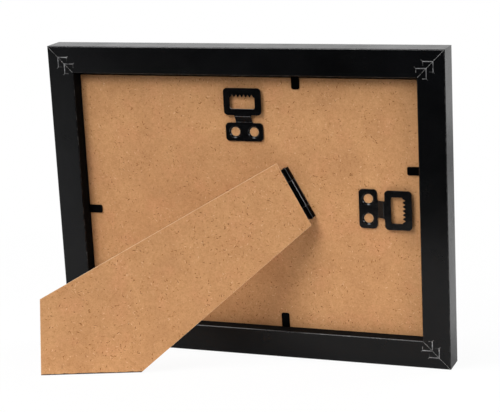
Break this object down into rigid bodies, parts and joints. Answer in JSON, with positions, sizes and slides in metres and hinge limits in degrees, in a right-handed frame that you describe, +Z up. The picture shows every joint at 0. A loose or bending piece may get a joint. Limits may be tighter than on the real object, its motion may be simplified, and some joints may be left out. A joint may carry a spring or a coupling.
{
  "type": "easel back photo frame",
  "caption": "Black mitred table photo frame with a recessed hardboard back, a slanted hinged easel leg, bend-up holding tabs and stamped toothed hangers for either way up.",
  "frame": {"origin": "on the table, under the middle of the box round the standing frame with its leg open", "axes": "+Z up, +X along the frame's width, -Y the way the picture faces, +Y the way the easel leg stands out"},
  "size_m": [0.21, 0.0976, 0.1603],
  "materials": {
    "rail_black": "satin black film over wood fibre",
    "hardboard": "bare pressed fibre board",
    "black_steel": "black coated steel",
    "nail_steel": "dull bare steel",
    "glass": "clear float glass",
    "paper": "plain white card"
  },
  "bodies": {
    "frame": {"v_nails": "nail_steel", "glass_pane": "glass", "photo_insert": "paper", "backing_board": "hardboard", "landscape_hanger": "black_steel", "portrait_hanger": "black_steel", "hinge_board_leaf": "black_steel", "hinge_pin": "black_steel", "top_rail": "rail_black", "top_tab_shank": "black_steel", "bottom_rail": "rail_black", "bottom_tab_shank": "black_steel", "left_rail": "rail_black", "left_tab_shank": "black_steel", "right_rail": "rail_black", "right_tab_shank": "black_steel"},
    "leg": {"easel_leg": "hardboard", "hinge_leg_leaf": "black_steel"},
    "top_tab": {"top_tab": "black_steel"},
    "bottom_tab": {"bottom_tab": "black_steel"},
    "left_tab": {"left_tab": "black_steel"},
    "right_tab": {"right_tab": "black_steel"}
  },
  "joints": [
    {"name": "leg_hinge", "type": "hinge", "parent": "frame", "child": "leg", "pos_m": [-0.02709, -0.02789, 0.08559], "axis": [0.4818, 0.122, 0.8678], "range_deg": [-30, 0]},
    {"name": "bottom_tab_bend", "type": "hinge", "parent": "frame", "child": "bottom_tab", "pos_m": [-0.0168, -0.03965, 0.01519], "axis": [-1, 0, 0], "range_deg": [0, 85]},
    {"name": "right_tab_bend", "type": "hinge", "parent": "frame", "child": "right_tab", "pos_m": [-0.09055, -0.0279, 0.09882], "axis": [0, 0.1392, 0.9903], "range_deg": [0, 85]},
    {"name": "top_tab_bend", "type": "hinge", "parent": "frame", "child": "top_tab", "pos_m": [-0.0274, -0.02141, 0.14502], "axis": [1, 0, 0], "range_deg": [0, 85]},
    {"name": "left_tab_bend", "type": "hinge", "parent": "frame", "child": "left_tab", "pos_m": [0.09055, -0.03157, 0.07268], "axis": [0, -0.1392, -0.9903], "range_deg": [0, 85]}
  ]
}
